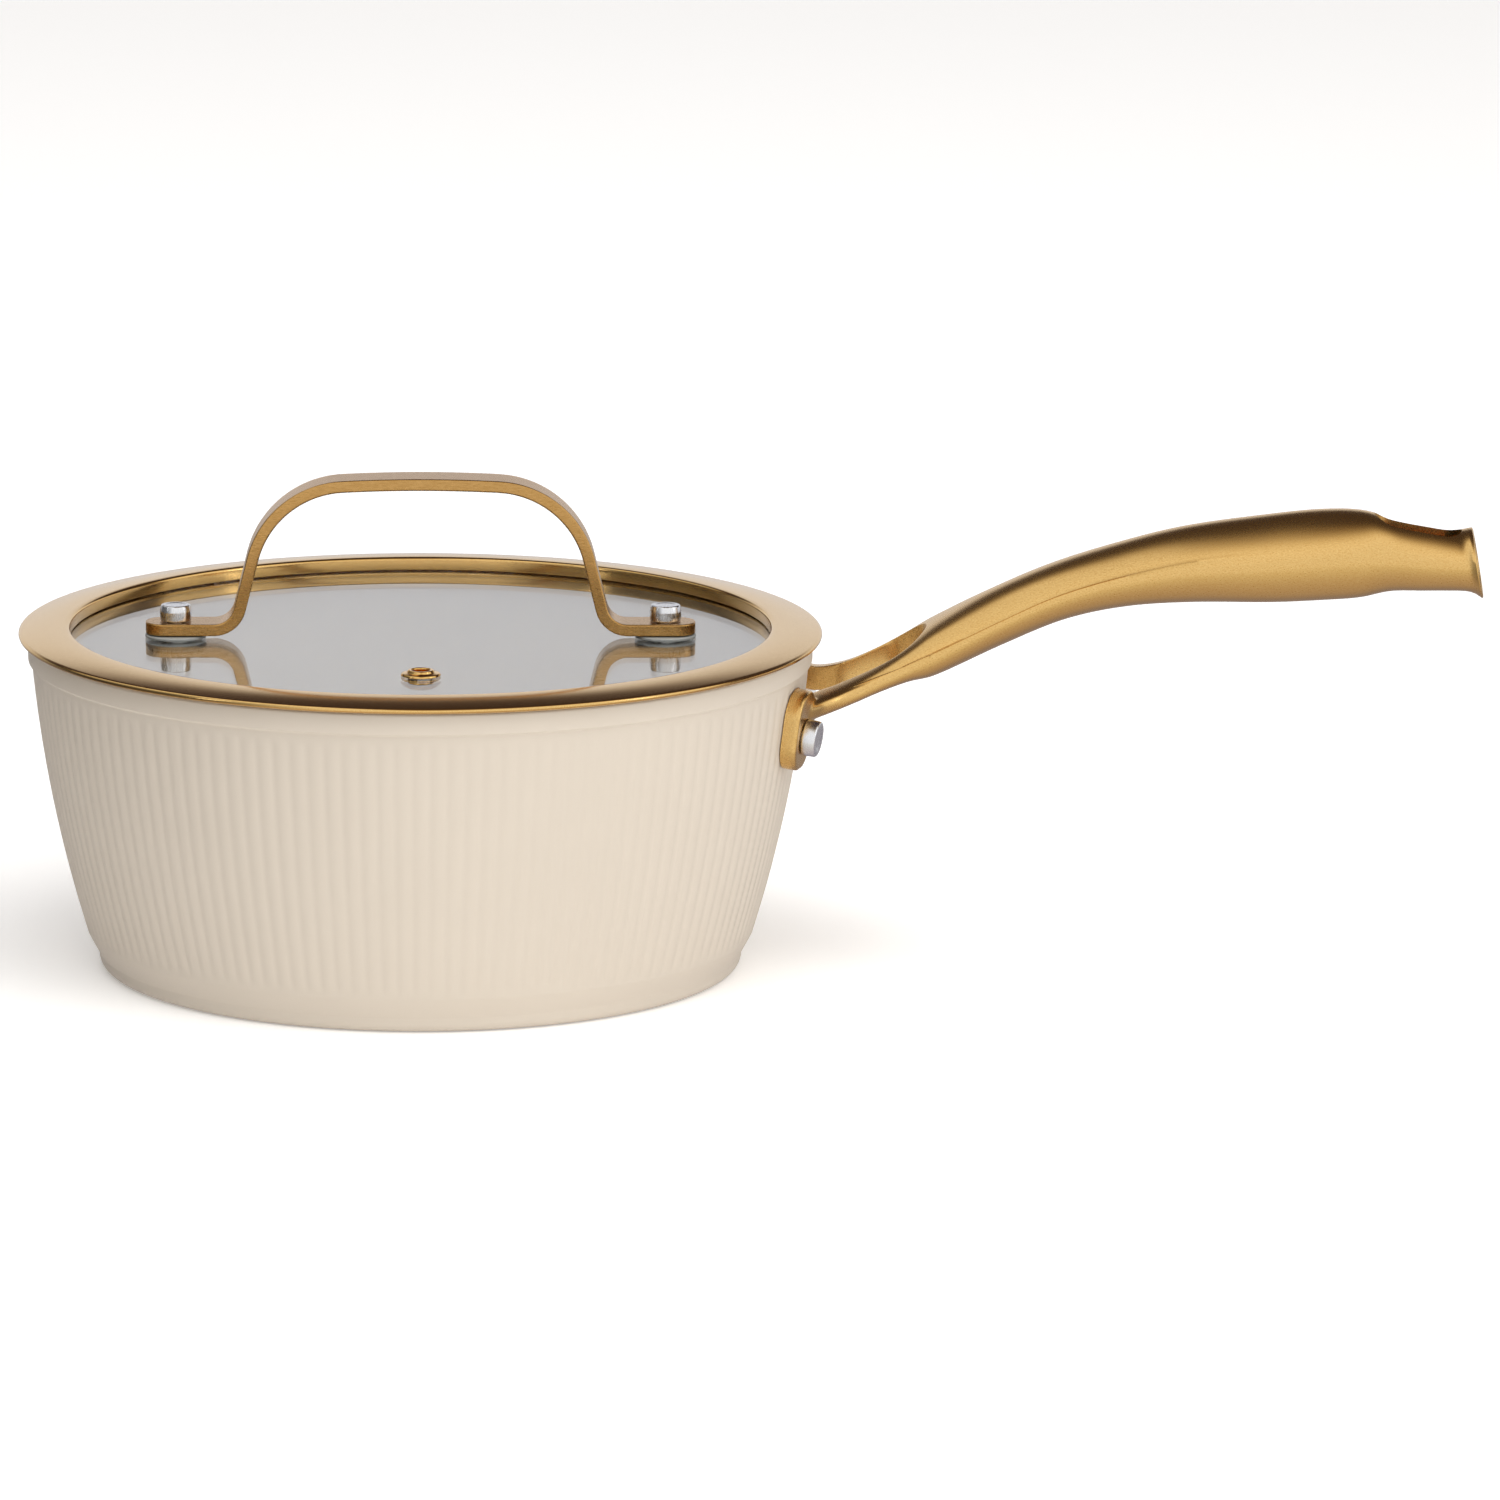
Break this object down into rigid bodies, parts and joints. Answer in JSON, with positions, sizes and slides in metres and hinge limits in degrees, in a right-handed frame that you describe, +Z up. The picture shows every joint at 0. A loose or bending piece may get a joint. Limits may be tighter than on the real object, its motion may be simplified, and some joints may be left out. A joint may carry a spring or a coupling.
{
  "type": "saucepan with glass lid",
  "caption": "Straight-handled saucepan with a ribbed, tapering body, a hollow forked stay-clear handle and a flat glass lid with a metal rim, a strap handle and a steam vent.",
  "frame": {"origin": "centre of the base's underside, on the hob", "axes": "+Z up out of the pan, +X along the long handle"},
  "size_m": [0.3842, 0.21, 0.129],
  "materials": {
    "cream_ceramic": "matte",
    "gold_steel": "satin",
    "aluminium": "satin",
    "stainless_steel": "satin",
    "grey_silicone": "matte",
    "clear_glass": "gloss"
  },
  "bodies": {
    "pan": {"pan_body": "cream_ceramic", "induction_plate": "stainless_steel", "pan_handle": "gold_steel", "handle_rivet_front": "aluminium", "handle_rivet_rear": "aluminium"},
    "lid": {"lid_ring": "gold_steel", "lid_glass": "clear_glass", "lid_handle": "gold_steel", "lid_pin_left": "aluminium", "lid_pin_right": "aluminium", "top_washer_left": "grey_silicone", "top_washer_right": "grey_silicone", "glass_bush_left": "grey_silicone", "glass_bush_right": "grey_silicone", "backing_washer_left": "stainless_steel", "backing_washer_right": "stainless_steel", "vent_eyelet": "gold_steel", "vent_ring": "gold_steel"}
  },
  "joints": [
    {"name": "lid_lift", "type": "slide", "parent": "pan", "child": "lid", "axis": [0, 0, 1], "range_m": [0, 0.12]}
  ]
}
